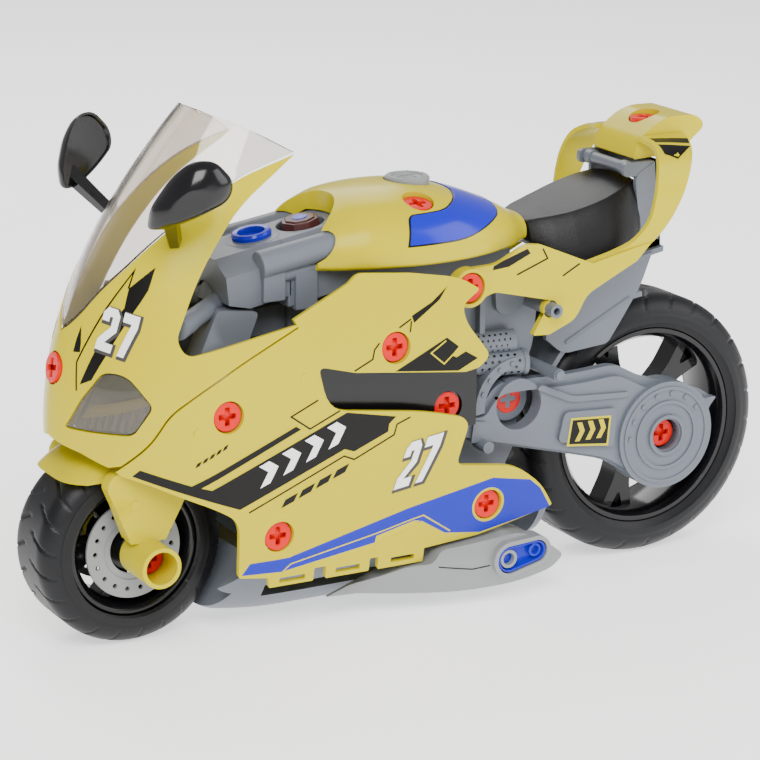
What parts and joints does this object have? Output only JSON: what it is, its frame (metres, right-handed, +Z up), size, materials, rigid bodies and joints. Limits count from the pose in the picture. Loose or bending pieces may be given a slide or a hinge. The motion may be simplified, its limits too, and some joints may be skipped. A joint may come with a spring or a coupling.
{
  "type": "take-apart toy motorcycle",
  "caption": "Moulded plastic take-apart toy racing motorcycle with steering, rolling wheels, a push button and screwed-on fairing panels.",
  "frame": {"origin": "centre of the bounding box at ground level, between the two wheels", "axes": "-X towards the front wheel and nose, +Y towards the rider's right side, +Z up"},
  "size_m": [0.28, 0.0978, 0.1763],
  "materials": {
    "frame_grey": "satin moulded grey plastic",
    "body_yellow": "glossy yellow moulded plastic with printed trim",
    "silver_grey": "satin silver-grey plastic",
    "accent_blue": "glossy blue plastic",
    "screw_red": "glossy red plastic",
    "tyre_black": "satin black rubber-like plastic with a moulded tread",
    "gloss_black": "glossy black plastic",
    "seat_black": "fine-grained matt black plastic",
    "smoke_clear": "clear plastic with a warm smoke tint",
    "button_brown": "reddish brown plastic"
  },
  "bodies": {
    "body": {"airbox_frame": "frame_grey", "engine_half_left": "frame_grey", "engine_half_right": "frame_grey", "rear_subframe": "frame_grey", "stem_bolt": "accent_blue", "rear_axle": "silver_grey", "swingarm": "frame_grey", "nose_cowl": "body_yellow", "windshield": "smoke_clear", "headlight_left": "smoke_clear", "headlight_right": "smoke_clear", "side_fairing_left": "body_yellow", "side_fairing_right": "body_yellow", "vent_panel_left": "gloss_black", "vent_panel_right": "gloss_black", "tank_shell": "body_yellow", "tank_panel": "accent_blue", "filler_cap": "silver_grey", "seat": "seat_black", "tail_panel_left": "body_yellow", "tail_panel_right": "body_yellow", "tail_hump": "body_yellow", "tail_rod": "frame_grey", "belly_pan": "frame_grey", "muffler_left": "silver_grey", "muffler_right": "silver_grey", "exhaust_outlet_left": "accent_blue", "exhaust_outlet_right": "accent_blue", "nose_screw": "screw_red", "tank_screw_left": "screw_red", "tank_screw_right": "screw_red", "fairing_screw_1_left": "screw_red", "fairing_screw_1_right": "screw_red", "fairing_screw_2_left": "screw_red", "fairing_screw_2_right": "screw_red", "fairing_screw_3_left": "screw_red", "fairing_screw_3_right": "screw_red", "fairing_screw_4_left": "screw_red", "fairing_screw_4_right": "screw_red", "tail_screw_left": "screw_red", "tail_screw_right": "screw_red", "vent_screw_left": "screw_red", "vent_screw_right": "screw_red", "hump_screw": "screw_red", "pivot_screw": "screw_red", "rear_hub_screw": "screw_red"},
    "steering": {"steering_yoke": "frame_grey", "fork_and_mudguard": "body_yellow", "front_axle": "silver_grey", "front_axle_screw_left": "screw_red", "front_axle_screw_right": "screw_red"},
    "front_wheel": {"front_tyre": "tyre_black", "front_rim": "gloss_black", "brake_disc_left": "silver_grey", "brake_disc_right": "silver_grey"},
    "rear_wheel": {"rear_tyre": "tyre_black", "rear_rim": "gloss_black"},
    "horn_button": {"horn_button": "button_brown"},
    "mirror_left": {"mirror_left": "gloss_black"},
    "mirror_right": {"mirror_right": "gloss_black"}
  },
  "joints": [
    {"name": "steering", "type": "hinge", "parent": "body", "child": "steering", "pos_m": [-0.058, 0, 0.131], "axis": [0.4067, 0, 0.9135], "range_deg": [-12, 12]},
    {"name": "front_wheel_spin", "type": "hinge", "parent": "steering", "child": "front_wheel", "pos_m": [-0.1075, 0, 0.0325], "axis": [0, 1, 0], "continuous": true},
    {"name": "rear_wheel_spin", "type": "hinge", "parent": "body", "child": "rear_wheel", "pos_m": [0.0925, 0, 0.0475], "axis": [0, 1, 0], "continuous": true},
    {"name": "horn_button_press", "type": "slide", "parent": "body", "child": "horn_button", "axis": [0, 0, -1], "range_m": [0, 0.0015], "stiffness_N_per_m": 400, "springref_m": -0.0005},
    {"name": "mirror_left_swivel", "type": "hinge", "parent": "body", "child": "mirror_left", "pos_m": [-0.1007, -0.0258, 0.1358], "axis": [-0.2762, -0.6769, 0.6823], "range_deg": [-15, 15]},
    {"name": "mirror_right_swivel", "type": "hinge", "parent": "body", "child": "mirror_right", "pos_m": [-0.1007, 0.0258, 0.1358], "axis": [-0.2762, 0.6769, 0.6823], "range_deg": [-15, 15]}
  ]
}
